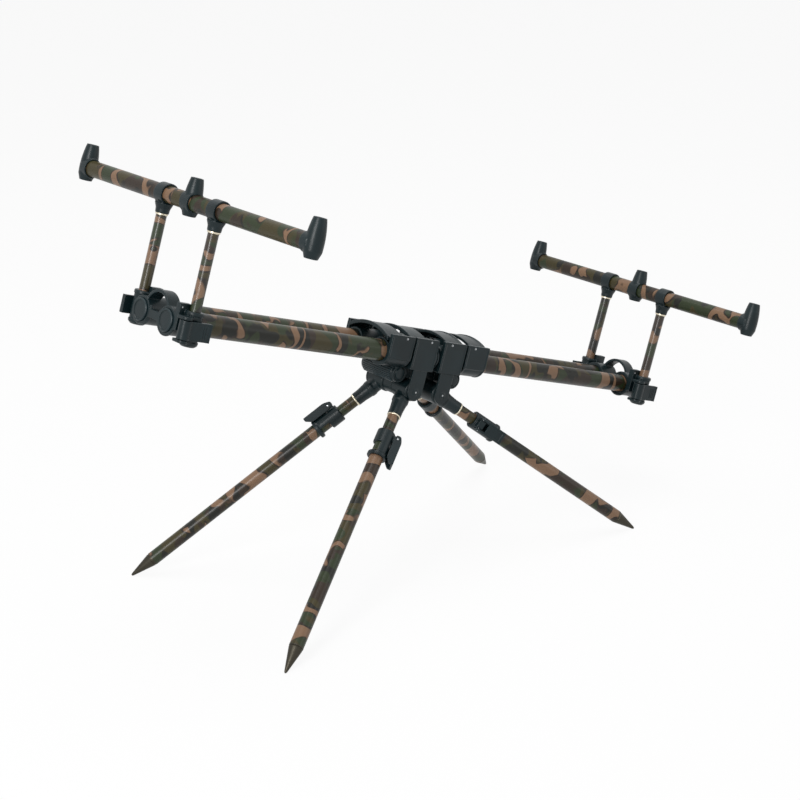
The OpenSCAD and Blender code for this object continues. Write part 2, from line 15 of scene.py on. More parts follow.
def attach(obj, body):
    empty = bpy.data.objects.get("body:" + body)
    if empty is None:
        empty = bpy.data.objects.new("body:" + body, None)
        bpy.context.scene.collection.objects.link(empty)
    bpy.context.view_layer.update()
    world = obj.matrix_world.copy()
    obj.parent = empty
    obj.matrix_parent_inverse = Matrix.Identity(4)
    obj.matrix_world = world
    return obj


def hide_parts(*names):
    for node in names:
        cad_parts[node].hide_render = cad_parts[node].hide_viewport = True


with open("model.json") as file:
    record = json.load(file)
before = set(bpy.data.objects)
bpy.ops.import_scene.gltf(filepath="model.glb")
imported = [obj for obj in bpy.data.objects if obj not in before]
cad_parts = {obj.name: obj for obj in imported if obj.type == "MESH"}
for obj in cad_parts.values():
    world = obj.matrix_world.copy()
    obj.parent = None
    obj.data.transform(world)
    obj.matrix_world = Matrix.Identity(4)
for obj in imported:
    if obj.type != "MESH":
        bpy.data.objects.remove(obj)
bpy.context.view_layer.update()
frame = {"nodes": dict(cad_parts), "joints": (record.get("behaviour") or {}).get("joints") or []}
NODES = frame["nodes"]
JOINTS = {joint["name"]: joint for joint in frame["joints"]}

MM = 0.001
ENDS = {"front": -1, "rear": 1}
SIDES = {"near": -1, "far": 1}

# Main bars and hub
BAR_Y = 24.5
BAR_R = {"front": 12.5, "rear": 11.0}
BAR_WALL = 1.2
BAR_END = 380.0
PLUG_T = 3.0
RING_R = 15.5
HUB_GAP = 10.0
CLAMP_LEN = 36.0
CLAMP_SLOT = 3.0
INNER_START = HUB_GAP / 2
OUTER_START = INNER_START + CLAMP_LEN + CLAMP_SLOT
CHEEK_OUT = 41.6
EAR_OUT = 39.6
PIVOT_X = 22.0
PIVOT_DROP = 42.0
LEG_PIN_R = 3.0
BARREL_X = OUTER_START
BARREL_DROP = 24.0
BARREL_R = 12.0
BARREL_REACH = 28.0
BUSH_X = -4.0
BUSH_T = 6.0
BUSH_R = 15.5

# Cam levers
PIN_INSET = 12.0
PIN_R = 1.5
HEAD_R = 1.1
PIN_Z = 19.3
LEVER_TAIL = 2.5
LEVER_IN = 29.0
LEVER_OUT = 36.0
ARCH_CREST = 27.3
ARCH_SPRING = 17.6

# Legs, measured along the leg from its pin
LEG_LEN = {"front": 382.0, "rear": 338.0}
UPPER_R = 7.0
LOWER_R = 8.25
KNUCKLE_R = 12.2
KNUCKLE_IN = 8.1
KNUCKLE_OUT = 36.0
SLEEVE_LEN = 40.0
SLEEVE_R = 9.2
MOUTH_R = 8.2
COLLAR_START = 64.0
COLLAR_END = 100.0
LOWER_START = 80.0
COLLAR_R = 10.8
FLANGE_R = 11.8
SPIKE_LEN = 33.0
TRUNNION_S = 71.0
TRUNNION_OUT = 15.0
TRUNNION_R = 2.2
LUG_HALF = 5.5
LOCK_CHEEK_IN = 5.9
LOCK_CHEEK_OUT = 8.1
LOCK_TOP = 66.2
LOCK_IN = 10.6
LOCK_OUT = 20.8
LOCK_END = 104.0

# End brackets and buzz bars
UPRIGHT_X = 365.0
UPRIGHT_Y = 49.0
UPRIGHT_R = 6.0
SOCKET_R = 9.5
SOCKET_UP = 17.0
SOCKET_DOWN = 18.0
BRACKET_IN = 14.0
BRACKET_OUT = 16.0
BRACKET_CHEEK_OUT = 44.1
CLAMP_PIN_X = 15.0
CLAMP_PIN_Y = 9.5
CLAMP_BOTTOM = -12.0
CLAMP_TOP = 8.0
CLAMP_REACH = 30.0
CLAMP_FACE = -5.0
BUZZ_Z = 123.0
BUZZ_R = 9.25
REST_Y = {"front": 210.0, "rear": 189.0}
REST_TOP = 26.0
THREAD_R = 4.76
THREAD_DEPTH = 13.0
TEE_DROP = 21.0


# Frames

def basis(origin, x_axis, z_axis):
    """Frame at a point in metres whose own unit is the millimetre."""
    z = Vector(z_axis).normalized()
    x = (Vector(x_axis) - z * z.dot(Vector(x_axis))).normalized()
    turn = Matrix((x, z.cross(x), z)).transposed().to_4x4()
    return Matrix.Translation(origin) @ turn @ Matrix.Scale(MM, 4)


def shift(x, y, z):
    return Matrix.Translation((x, y, z))


def spun(degrees, axis):
    return Matrix.Rotation(math.radians(degrees), 4, axis)


def joint_point(name):
    return Vector(JOINTS[name]["pos_m"])


def joint_axis(name):
    return Vector(JOINTS[name]["axis"])


TO_X = spun(90, "Y")
TO_Y = spun(-90, "X")
SECTION = TO_X @ spun(90, "Z")
ALONG = joint_axis("length_slide")
UP = joint_axis("front_buzz_height")
leg_pins = [joint_point(f"{end}_{side}_leg_hinge") for end in ENDS for side in SIDES]
POD = basis(sum(leg_pins, Vector()) / len(leg_pins) + UP * PIVOT_DROP * MM, ALONG, UP)


def half(end, side="far"):
    """The pod's frame, mirrored so that +X points out of the named end and +Y out of the named side."""
    return POD @ Matrix.Diagonal((ENDS[end], SIDES[side], 1, 1))


def bracket_frame(end):
    """Frame of one end bracket; the rear bracket is the front one turned half round."""
    return POD @ shift(ENDS[end] * UPRIGHT_X, 0, 0) @ spun(0 if end == "front" else 180, "Z")


def buzz_frame(end):
    return POD @ shift(ENDS[end] * UPRIGHT_X, 0, BUZZ_Z)


def leg_frame(leg):
    """Frame of one leg: its pin at the origin, Z down the leg and X towards the lock lever."""
    pin = joint_point(f"{leg}_leg_hinge")
    return basis(pin, joint_point(f"{leg}_lock_lever_hinge") - pin, joint_axis(f"{leg}_leg_slide"))


# Mesh building

def settled(bm, place):
    bmesh.ops.transform(bm, matrix=place, verts=bm.verts)
    return bm


def turned(profile, place, steps=48):
    """Turns (radius, height) points about Z: from the axis back to the axis, or a closed loop off it."""
    bm = bmesh.new()
    angles = [2 * math.pi * i / steps for i in range(steps)]
    rings = []
    for radius, height in profile:
        spots = angles if radius > 0 else [0]
        rings.append([bm.verts.new((radius * math.cos(a), radius * math.sin(a), height)) for a in spots])
    pairs = list(zip(rings, rings[1:]))
    if profile[0][0] > 0:
        pairs.append((rings[-1], rings[0]))
    for low, high in pairs:
        for i in range(steps):
            j = (i + 1) % steps
            corners = [low[i % len(low)], low[j % len(low)], high[j % len(high)], high[i % len(high)]]
            bm.faces.new(list(dict.fromkeys(corners)))
    return settled(bm, place)


def extruded(outline, start, end, place, edge=0.0):
    """Prism of an (x, y) outline from one height to another, with its edges rounded."""
    bm = bmesh.new()
    low = [bm.verts.new((x, y, start)) for x, y in outline]
    high = [bm.verts.new((x, y, end)) for x, y in outline]
    bm.faces.new(low[::-1])
    bm.faces.new(high)
    for i in range(len(outline)):
        j = (i + 1) % len(outline)
        bm.faces.new((low[i], low[j], high[j], high[i]))
    if edge:
        rims = [e for e in bm.edges if len({round(v.co.z, 4) for v in e.verts}) == 1]
        bmesh.ops.bevel(bm, geom=rims, offset=edge, segments=3, profile=0.5, affect="EDGES")
    return settled(bm, place)


def across(outline, y0, y1, place, edge=0.0):
    """Prism of an (x, z) outline from one Y to another."""
    return extruded(outline, -y1, -y0, place @ spun(90, "X"), edge)


def arc(centre, radius, start, end, steps=12):
    """Points along an arc, in degrees."""
    angles = [math.radians(start + (end - start) * i / steps) for i in range(steps + 1)]
    return [(centre[0] + radius * math.cos(a), centre[1] + radius * math.sin(a)) for a in angles]


def softened(corners, steps=5):
    """Outline whose corners, given as (x, y, cut), are rounded off over that cut."""
    points = []
    for i, (x, y, cut) in enumerate(corners):
        corner = Vector((x, y))
        before = (Vector(corners[i - 1][:2]) - corner).normalized() * cut + corner
        after = (Vector(corners[(i + 1) % len(corners)][:2]) - corner).normalized() * cut + corner
        for step in range(steps + 1 if cut else 1):
            t = step / steps
            spot = before * (1 - t) ** 2 + corner * 2 * t * (1 - t) + after * t ** 2
            points.append(tuple(spot) if cut else (x, y))
    return points


def band(inner, outer, start, end, steps=24):
    """Outline of a ring sector between two angles, in degrees."""
    return arc((0, 0), outer, start, end, steps) + arc((0, 0), inner, end, start, steps)


def arch_band(reach, crest, spring, thick):
    """Outline of an arch that stands on two feet, as (across, up) points."""
    rise = crest - spring
    radius = (reach * reach + rise * rise) / (2 * rise)
    lean = math.degrees(math.asin(reach / radius))
    centre = (0, crest - radius)
    outer = arc(centre, radius, 90 - lean, 90 + lean, 32)
    inner = arc(centre, radius - thick, 90 + lean, 90 - lean, 32)
    return outer + inner


def box_outline(x0, x1, y0, y1, cut=0.0):
    return softened([(x0, y0, cut), (x1, y0, cut), (x1, y1, cut), (x0, y1, cut)])


def copy_of(node):
    """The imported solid's own surface, welded, as the start of a fuller piece."""
    bm = bmesh.new()
    bm.from_mesh(NODES[node].data)
    bmesh.ops.remove_doubles(bm, verts=bm.verts, dist=0.005 * MM)
    return bm


def merged(shells):
    whole = bmesh.new()
    for bm in shells:
        mesh = bpy.data.meshes.new("shell")
        bm.to_mesh(mesh)
        bm.free()
        whole.from_mesh(mesh)
        bpy.data.meshes.remove(mesh)
    bmesh.ops.recalc_face_normals(whole, faces=whole.faces)
    return whole


def piece(name, shells, body, finish, nodes=(), sharp=35):
    """One piece of the object: its shells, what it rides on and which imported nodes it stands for."""
    mesh = bpy.data.meshes.new(name)
    whole = merged(shells)
    whole.to_mesh(mesh)
    whole.free()
    mesh.materials.append(finish)
    mesh.polygons.foreach_set("use_smooth", [True] * len(mesh.polygons))
    mesh.set_sharp_from_angle(angle=math.radians(sharp))
    obj = bpy.data.objects.new(name, mesh)
    bpy.context.scene.collection.objects.link(obj)
    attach(obj, body)
    if nodes:
        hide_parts(*nodes)
    return obj


def moulded(name, shells, body, nodes, voxel=0.5, passes=5, keep=0.3):
    """A moulded piece: its shells melt into one skin whose inner and outer corners are rounded."""
    obj = piece(name, shells, body, nylon, nodes)
    skin = obj.modifiers.new("one skin", "REMESH")
    skin.mode = "VOXEL"
    skin.voxel_size = voxel * MM
    skin.use_smooth_shade = True
    fillet = obj.modifiers.new("moulding fillets", "SMOOTH")
    fillet.factor = 0.5
    fillet.iterations = passes
    thin = obj.modifiers.new("fewer faces", "DECIMATE")
    thin.ratio = keep
    return obj


# Materials

def linear(code):
    """Linear colour of an sRGB hex value."""
    parts = [int(code[i:i + 2], 16) / 255 for i in (1, 3, 5)]
    return [c / 12.92 if c <= 0.04045 else ((c + 0.055) / 1.055) ** 2.4 for c in parts] + [1.0]


def add(tree, kind, inputs=None, **settings):
    """Adds a node, sets its properties, and links or sets its inputs."""
    node = tree.nodes.new(kind)
    for key, value in settings.items():
        setattr(node, key, value)
    for key, value in (inputs or {}).items():
        if isinstance(value, bpy.types.NodeSocket):
            tree.links.new(value, node.inputs[key])
        else:
            node.inputs[key].default_value = value
    return node


def new_material(name):
    material = bpy.data.materials.new(name)
    material.use_nodes = True
    shader = material.node_tree.nodes["Principled BSDF"]
    return material, material.node_tree, shader


def camo_enamel(name, axis, lacquer, ribbon=0.048):
    """Woodland camouflage film on drawn aluminium tube under a clear satin lacquer.

    The print wraps the tube, so its patches run further round it than along it, with crisp edges.
    """
    material, tree, shader = new_material(name)
    place = add(tree, "ShaderNodeTexCoord").outputs["Object"]
    squeeze = 0.6
    dot = add(tree, "ShaderNodeVectorMath", {0: place, 1: axis}, operation="DOT_PRODUCT")
    run = dot.outputs["Value"]
    extra = add(tree, "ShaderNodeMath", {0: run, 1: squeeze}, operation="MULTIPLY").outputs[0]
    push = add(tree, "ShaderNodeVectorMath", {0: axis, "Scale": extra}, operation="SCALE").outputs[0]
    print_place = add(tree, "ShaderNodeVectorMath", {0: place, 1: push}, operation="ADD").outputs[0]

    def field(size, seed):
        return add(
            tree, "ShaderNodeTexNoise",
            {"Vector": print_place, "W": seed, "Scale": 1 / (size * MM), "Detail": 1.0,
             "Roughness": 0.4, "Distortion": 0.5},
            noise_dimensions="4D",
        ).outputs["Fac"]

    def above(value, level, blur):
        return add(
            tree, "ShaderNodeMapRange",
            {"Value": value, "From Min": level - blur, "From Max": level + blur},
        ).outputs["Result"]

    def inked(under, code, mask):
        return add(
            tree, "ShaderNodeMix", {"Factor": mask, 6: under, 7: linear(code)}, data_type="RGBA",
        ).outputs[2]

    # Patches of ink over the olive ground: colour, size, level of the field where they start, and seed
    colour = linear("#373119")
    for code, size, level, seed in (
        ("#262f1a", 46, 0.51, 1.7), ("#2a2017", 40, 0.54, 5.1), ("#13140e", 34, 0.59, 13.3),
    ):
        colour = inked(colour, code, above(field(size, seed), level, 0.012))
    # Tan ribbons with a dark rim, which follow one contour of a broad field and break off here and there
    contour = field(50, 21.6)
    gate = field(44, 30.2)
    for code, half_width, level in (("#1c1610", ribbon + 0.02, 0.455), ("#775d48", ribbon, 0.47)):
        off = add(tree, "ShaderNodeMath", {0: contour, 1: 0.52}, operation="SUBTRACT").outputs[0]
        off = add(tree, "ShaderNodeMath", {0: off}, operation="ABSOLUTE").outputs[0]
        outside = above(off, half_width, 0.006)
        inside = add(tree, "ShaderNodeMath", {0: 1.0, 1: outside}, operation="SUBTRACT").outputs[0]
        opened = above(gate, level, 0.012)
        mask = add(tree, "ShaderNodeMath", {0: inside, 1: opened}, operation="MULTIPLY")
        colour = inked(colour, code, mask.outputs[0])
    # Rubbed lacquer: faint drifts of gloss, 12 mm across, and orange peel, drawn at 1.5 mm to show
    drift = add(tree, "ShaderNodeTexNoise", {"Vector": place, "Scale": 1 / (12 * MM), "Detail": 3.0})
    gloss = add(
        tree, "ShaderNodeMapRange",
        {"Value": drift.outputs["Fac"], "To Min": 0.34, "To Max": 0.46},
    )
    peel = add(tree, "ShaderNodeTexNoise", {"Vector": place, "Scale": 1 / (1.5 * MM), "Detail": 2.0})
    bump = add(
        tree, "ShaderNodeBump",
        {"Height": peel.outputs["Fac"], "Strength": 0.03, "Distance": 0.1 * MM},
    )
    tree.links.new(colour, shader.inputs["Base Color"])
    tree.links.new(gloss.outputs["Result"], shader.inputs["Roughness"])
    tree.links.new(bump.outputs["Normal"], shader.inputs["Normal"])
    shader.inputs["Specular IOR Level"].default_value = 0.2
    shader.inputs["Coat Weight"].default_value = lacquer
    shader.inputs["Coat Roughness"].default_value = 0.24
    return material


def moulded_nylon(name, code, rough):
    """Glass-filled nylon from a spark-eroded mould: near black with a cold cast, satin, fine grain."""
    material, tree, shader = new_material(name)
    place = add(tree, "ShaderNodeTexCoord").outputs["Object"]
    # Flow of the melt, 25 mm across, and the mould's grain, drawn at 0.9 mm so that it shows
    flow = add(tree, "ShaderNodeTexNoise", {"Vector": place, "Scale": 1 / (25 * MM), "Detail": 4.0})
    grain = add(tree, "ShaderNodeTexNoise", {"Vector": place, "Scale": 1 / (0.9 * MM), "Detail": 3.0})
    tone = add(
        tree, "ShaderNodeMix",
        {"Factor": flow.outputs["Fac"], 6: linear(code), 7: linear("#132529")}, data_type="RGBA",
    )
    # Painted highlight with some handling wear: the outer edges are painted a paler, bluer shade, where
    # they would catch the light
    edge = add(
        tree, "ShaderNodeMapRange",
        {"Value": add(tree, "ShaderNodeNewGeometry").outputs["Pointiness"],
         "From Min": 0.53, "From Max": 0.63, "To Max": 0.5},
    )
    edge_wear_and_highlight = add(
        tree, "ShaderNodeMix",
        {"Factor": edge.outputs["Result"], 6: tone.outputs[2], 7: linear("#2c3e44")}, data_type="RGBA",
    )
    gloss = add(
        tree, "ShaderNodeMapRange",
        {"Value": flow.outputs["Fac"], "To Min": rough - 0.06, "To Max": rough + 0.06},
    )
    bump = add(
        tree, "ShaderNodeBump",
        {"Height": grain.outputs["Fac"], "Strength": 0.18, "Distance": 0.12 * MM},
    )
    tree.links.new(edge_wear_and_highlight.outputs[2], shader.inputs["Base Color"])
    tree.links.new(gloss.outputs["Result"], shader.inputs["Roughness"])
    tree.links.new(bump.outputs["Normal"], shader.inputs["Normal"])
    shader.inputs["Specular IOR Level"].default_value = 0.28
    return material


def turned_metal(name, code, rough, groove):
    """Metal turned on a lathe: fine tool marks of the given spacing break the highlight into streaks."""
    material, tree, shader = new_material(name)
    place = add(tree, "ShaderNodeTexCoord").outputs["Object"]
    marks = add(tree, "ShaderNodeTexNoise", {"Vector": place, "Scale": 1 / (groove * MM), "Detail": 2.0})
    stain = add(tree, "ShaderNodeTexNoise", {"Vector": place, "Scale": 1 / (9 * MM), "Detail": 4.0})
    dull = [c * 0.8 for c in linear(code)[:3]] + [1.0]
    tone = add(
        tree, "ShaderNodeMix",
        {"Factor": stain.outputs["Fac"], 6: linear(code), 7: dull}, data_type="RGBA",
    )
    gloss = add(
        tree, "ShaderNodeMapRange",
        {"Value": stain.outputs["Fac"], "To Min": rough - 0.08, "To Max": rough + 0.08},
    )
    bump = add(
        tree, "ShaderNodeBump",
        {"Height": marks.outputs["Fac"], "Strength": 0.2, "Distance": 0.05 * MM},
    )
    tree.links.new(tone.outputs[2], shader.inputs["Base Color"])
    tree.links.new(gloss.outputs["Result"], shader.inputs["Roughness"])
    tree.links.new(bump.outputs["Normal"], shader.inputs["Normal"])
    shader.inputs["Metallic"].default_value = 1.0
    return material


nylon = moulded_nylon("moulded_black_nylon", "#071012", 0.36)
guide_nylon = moulded_nylon("machined_guide_nylon", "#0d1213", 0.30)
champagne = turned_metal("turned_champagne_aluminium", "#e6ddc6", 0.34, 0.8)
steel = turned_metal("bright_pin_steel", "#aeb1b3", 0.3, 0.6)
spike_metal = turned_metal("bronzed_spike_steel", "#45423a", 0.44, 0.7)

bar_camo = camo_enamel("camo_enamel_main_bars", ALONG, 0.2)
buzz_camo = camo_enamel("camo_enamel_buzz_bars", Vector((0, 1, 0)), 0.1)
upright_camo = camo_enamel("camo_enamel_uprights", UP, 0.7)


def dress(node, finish):
    """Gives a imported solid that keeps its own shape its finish."""
    materials = NODES[node].data.materials
    materials.clear()
    materials.append(finish)


for end in ENDS:
    for side in SIDES:
        dress(f"{end}_bar_{side}", bar_camo)
        leg = f"{end}_{side}"
        leg_camo = camo_enamel(f"camo_enamel_{leg}_leg", joint_axis(f"{leg}_leg_slide"), 0.25, 0.07)
        dress(f"{leg}_upper_tube", leg_camo)
        dress(f"{leg}_lower_tube", leg_camo)
    dress(f"{end}_buzz_bar", buzz_camo)
    dress(f"{end}_uprights", upright_camo)


# Hub

HUB_BODY = {"front": "front_frame", "rear": "rear_hub"}
CLAMP_STARTS = {"inner": INNER_START, "outer": OUTER_START}


def hub_block(end):
    """Leg block: two rows of clamps with rolled edges and lips, and a fluted, stepped cross barrel."""
    flute_r = 0.7
    flute_step = 11
    flute_end = BARREL_REACH - 2.6
    bead_r = 1.3
    lip_t = 2.4
    lip_in = RING_R - 1.5
    keel_half = 6
    step_r = 10.8
    shells = [copy_of(f"{end}_block")]
    flutes = []
    # Keel between the barrel and the middle ear
    keel = box_outline(INNER_START, BARREL_X, -BARREL_DROP - 10, -RING_R + 2)
    shells.append(across(keel, -keel_half, keel_half, half(end)))
    for side in SIDES:
        place = half(end, side)
        # Flutes stop short of the underside, where a folded leg comes close
        for angle in range(-56, 55, flute_step):
            x = BARREL_X + BARREL_R * math.cos(math.radians(angle))
            z = -BARREL_DROP + BARREL_R * math.sin(math.radians(angle))
            flute = [
                (0, 0), (flute_r, 0), (flute_r, flute_end), (flute_r * 0.4, flute_end + 0.6),
                (0, flute_end + 0.6),
            ]
            flutes.append(turned(flute, place @ shift(x, 0, z) @ TO_Y, 10))
        steps = [
            (0, 0), (BARREL_R, 0), (BARREL_R, flute_end), (step_r, flute_end + 0.6),
            (step_r, BARREL_REACH + 1.4), (9, BARREL_REACH + 1.6), (8.6, BARREL_REACH + 0.4),
            (7, BARREL_REACH + 0.4), (6.6, BARREL_REACH + 2.8), (0, BARREL_REACH + 3.2),
        ]
        shells.append(turned(steps, place @ shift(BARREL_X, 0, -BARREL_DROP) @ TO_Y, 40))
        cap = [
            (0, EAR_OUT - 1), (4.4, EAR_OUT - 1), (4.4, EAR_OUT + 0.3), (3.4, EAR_OUT + 0.7),
            (0, EAR_OUT + 0.7),
        ]
        shells.append(turned(cap, place @ shift(PIVOT_X, 0, -PIVOT_DROP) @ TO_Y, 32))
        # Rolled edges of the cheeks, which end where an outer cheek curves in under its bar
        for start, low in ((INNER_START, -12), (OUTER_START, -2)):
            bead = [(0, low - 1), (bead_r, low), (bead_r, PIN_Z), (0, PIN_Z + 1)]
            for x in (start + bead_r, start + CLAMP_LEN - bead_r):
                shells.append(turned(bead, place @ shift(x, CHEEK_OUT - 0.6, 0), 16))
        # Rounded flank below each outer cheek, and a lip round both mouths of that clamp
        flank_r = CHEEK_OUT - BAR_Y
        ring = place @ shift(OUTER_START, BAR_Y, 0) @ SECTION
        shells.append(extruded(band(lip_in, flank_r, -110, 0), 0, CLAMP_LEN, ring, 0.4))
        lip = band(lip_in, flank_r + 0.6, -150, 8)
        for x in (0, CLAMP_LEN - lip_t):
            shells.append(extruded(lip, x, x + lip_t, ring, 0.4))
        inner_lip = band(lip_in, RING_R + 1.2, -170, 40)
        ring = place @ shift(INNER_START, BAR_Y, 0) @ SECTION
        shells.append(extruded(inner_lip, 0, lip_t, ring, 0.4))
    moulded(f"{end}_leg_block", shells, HUB_BODY[end], [f"{end}_block"], 0.5, 7, 0.3)
    piece(f"{end}_barrel_flutes", flutes, HUB_BODY[end], nylon)


def cam_lever(end, row):
    """Cam lever: an arch over both bars with a rolled rim, turning on a foot at each end."""
    name = f"{end}_{row}_lever"
    tail = CLAMP_STARTS[row] + CLAMP_LEN + LEVER_TAIL
    place = half(end) @ shift(tail, 0, 0) @ SECTION
    rim = arch_band(LEVER_OUT, ARCH_CREST + 1, ARCH_SPRING + 1, 3.6)
    shells = [copy_of(name), extruded(rim, -2.8, 0, place, 0.6)]
    moulded(f"{name}_moulding", shells, name, [name], 0.45, 5, 0.3)


def hub_pins(end):
    """Steel pins of the cam levers and the legs, with slightly domed heads."""
    levers = []
    for side in SIDES:
        for start in CLAMP_STARTS.values():
            place = half(end, side) @ shift(start + PIN_INSET, 0, PIN_Z) @ TO_Y
            levers.append(turned([
                (0, LEVER_IN), (PIN_R, LEVER_IN), (PIN_R, CHEEK_OUT - 0.6), (HEAD_R, CHEEK_OUT - 0.4),
                (HEAD_R, CHEEK_OUT + 0.2), (0, CHEEK_OUT + 0.5),
            ], place, 24))
    piece(f"{end}_lever_pin_set", levers, HUB_BODY[end], steel, [f"{end}_lever_pins"])
    ends = [(0, EAR_OUT + 1.1), (HEAD_R, EAR_OUT + 0.9), (HEAD_R, EAR_OUT), (LEG_PIN_R, EAR_OUT - 0.4)]
    rod = ends + [(r, -z) for r, z in reversed(ends)]
    leg = [turned(rod, POD @ shift(ENDS[end] * PIVOT_X, 0, -PIVOT_DROP) @ TO_Y, 32)]
    piece(f"{end}_leg_pin_rod", leg, HUB_BODY[end], steel, [f"{end}_leg_pin"])


def bushes():
    """Guide bushes at the mouths of the front bars, with a grooved flange."""
    bore = BAR_R["rear"] + 0.15
    stem = BAR_R["front"] - BAR_WALL
    loop = [
        (bore, -30), (stem, -30), (stem, 0), (BUSH_R - 0.5, 0), (BUSH_R, 0.5), (BUSH_R, 2.4),
        (BUSH_R - 0.8, 2.7), (BUSH_R - 0.8, 3.5), (BUSH_R, 3.8), (BUSH_R, BUSH_T - 0.5),
        (BUSH_R - 0.5, BUSH_T), (bore + 0.5, BUSH_T), (bore, BUSH_T - 0.5),
    ]
    shells = [turned(loop, half("rear", side) @ shift(BUSH_X, BAR_Y, 0) @ TO_X, 64) for side in SIDES]
    piece("bar_guide_bushes", shells, "front_frame", guide_nylon, ["bar_bushes"])


for end in ENDS:
    hub_block(end)
    hub_pins(end)
    for row in CLAMP_STARTS:
        cam_lever(end, row)
bushes()


# End brackets

FRAME_BODY = {"front": "front_frame", "rear": "rear_frame"}


def end_bracket(end):
    """Bracket: rings on the bars, an arch over the gap, and an eared socket for each upright."""
    lip_t = 2.8
    pin_x = 3 - BRACKET_OUT
    pin_z = 18.6
    shells = [copy_of(f"{end}_bracket")]
    pins = []
    for turn in (0, 180):
        place = bracket_frame(end) @ spun(turn, "Z")
        upright = place @ shift(0, -UPRIGHT_Y, 0)
        bore = UPRIGHT_R + 0.3
        collar = [
            (bore, SOCKET_UP - 4), (SOCKET_R + 0.8, SOCKET_UP - 4), (SOCKET_R + 0.8, SOCKET_UP - 1.2),
            (SOCKET_R, SOCKET_UP), (bore, SOCKET_UP),
        ]
        foot = [
            (bore, -SOCKET_DOWN + 4), (SOCKET_R + 1, -SOCKET_DOWN + 3), (SOCKET_R + 0.4, -SOCKET_DOWN),
            (SOCKET_R - 2, -SOCKET_DOWN - 2.2), (bore, -SOCKET_DOWN - 2.6),
        ]
        shells.append(turned(collar, upright, 40))
        shells.append(turned(foot, upright, 40))
        # Raised lips round both mouths of the ring on the bar
        lip = band(RING_R - 1.5, RING_R + 1.2, 150, 390)
        for x in (-BRACKET_OUT, BRACKET_IN - lip_t):
            shells.append(extruded(lip, 0, lip_t, place @ shift(x, -BAR_Y, 0) @ SECTION, 0.4))
        head = [(0, -2), (HEAD_R, -2), (HEAD_R, 0.2), (0, 0.5)]
        spot = place @ shift(pin_x, -BRACKET_CHEEK_OUT, pin_z) @ spun(90, "X")
        pins.append(turned(head, spot, 20))
    moulded(f"{end}_bracket_moulding", shells, FRAME_BODY[end], [f"{end}_bracket"], 0.5, 3, 0.3)
    piece(f"{end}_bracket_pins", pins, FRAME_BODY[end], steel)


def clamp_lever(end, side):
    """Clamp lever of one upright: a drum on its pin and a handle with a ribbed, turned-out tip."""
    turned_round = (end == "front") == (side == "far")
    place = bracket_frame(end) @ spun(180 if turned_round else 0, "Z")
    place = place @ shift(-CLAMP_PIN_X, -UPRIGHT_Y - CLAMP_PIN_Y, 0)
    name = f"{end}_clamp_lever_{side}"
    tip = softened([
        (CLAMP_REACH - 9, CLAMP_FACE + 1, 1), (CLAMP_REACH, CLAMP_FACE - 1.2, 0.6),
        (CLAMP_REACH, CLAMP_FACE + 2, 0.6), (CLAMP_REACH - 9, CLAMP_FACE + 3, 1),
    ])
    shells = [copy_of(name), extruded(tip, CLAMP_BOTTOM, CLAMP_TOP, place)]
    for ridge in range(3):
        spot = place @ shift(CLAMP_REACH - 5 - 2.8 * ridge, CLAMP_FACE, CLAMP_BOTTOM)
        tall = CLAMP_TOP - CLAMP_BOTTOM
        bead = [(0, 3), (0.8, 3.8), (0.8, tall - 3.8), (0, tall - 3)]
        shells.append(turned(bead, spot, 10))
    moulded(f"{name}_moulding", shells, name, [name], 0.4, 3, 0.3)


def bar_plugs(end):
    """Plugs in the bar ends: a raised rim round a barely domed face."""
    r = BAR_R[end]
    stem = r - BAR_WALL
    face = BAR_END + PLUG_T
    profile = [
        (0, BAR_END - 12), (stem, BAR_END - 12), (stem, BAR_END), (r, BAR_END), (r, face - 0.8),
        (r - 0.8, face), (r - 2.2, face), (r - 2.8, face - 0.8), (0, face - 0.5),
    ]
    shells = [turned(profile, half(end, side) @ shift(0, BAR_Y, 0) @ TO_X, 64) for side in SIDES]
    piece(f"{end}_bar_plug_set", shells, FRAME_BODY[end], nylon, [f"{end}_bar_plugs"])


for end in ENDS:
    end_bracket(end)
    bar_plugs(end)
    for side in SIDES:
        clamp_lever(end, side)


# Buzz bars

def thread_ridge(place, pitch=1.27):
    """Helical ridge of the threaded hole in the top of a rest."""
    steps = 28
    turns = int((THREAD_DEPTH - 2.5) / pitch)
    bm = bmesh.new()
    rings = []
    for i in range(steps * turns + 1):
        angle = 2 * math.pi * i / steps
        z = REST_TOP - 1.6 - pitch * i / steps
        corners = [(THREAD_R + 0.5, z + 0.5), (THREAD_R - 0.45, z), (THREAD_R + 0.5, z - 0.5)]
        rings.append([bm.verts.new((r * math.cos(angle), r * math.sin(angle), h)) for r, h in corners])
    for low, high in zip(rings, rings[1:]):
        for k in range(3):
            bm.faces.new((low[k], low[k - 1], high[k - 1], high[k]))
    bm.faces.new(rings[0])
    bm.faces.new(rings[-1][::-1])
    return settled(bm, place)


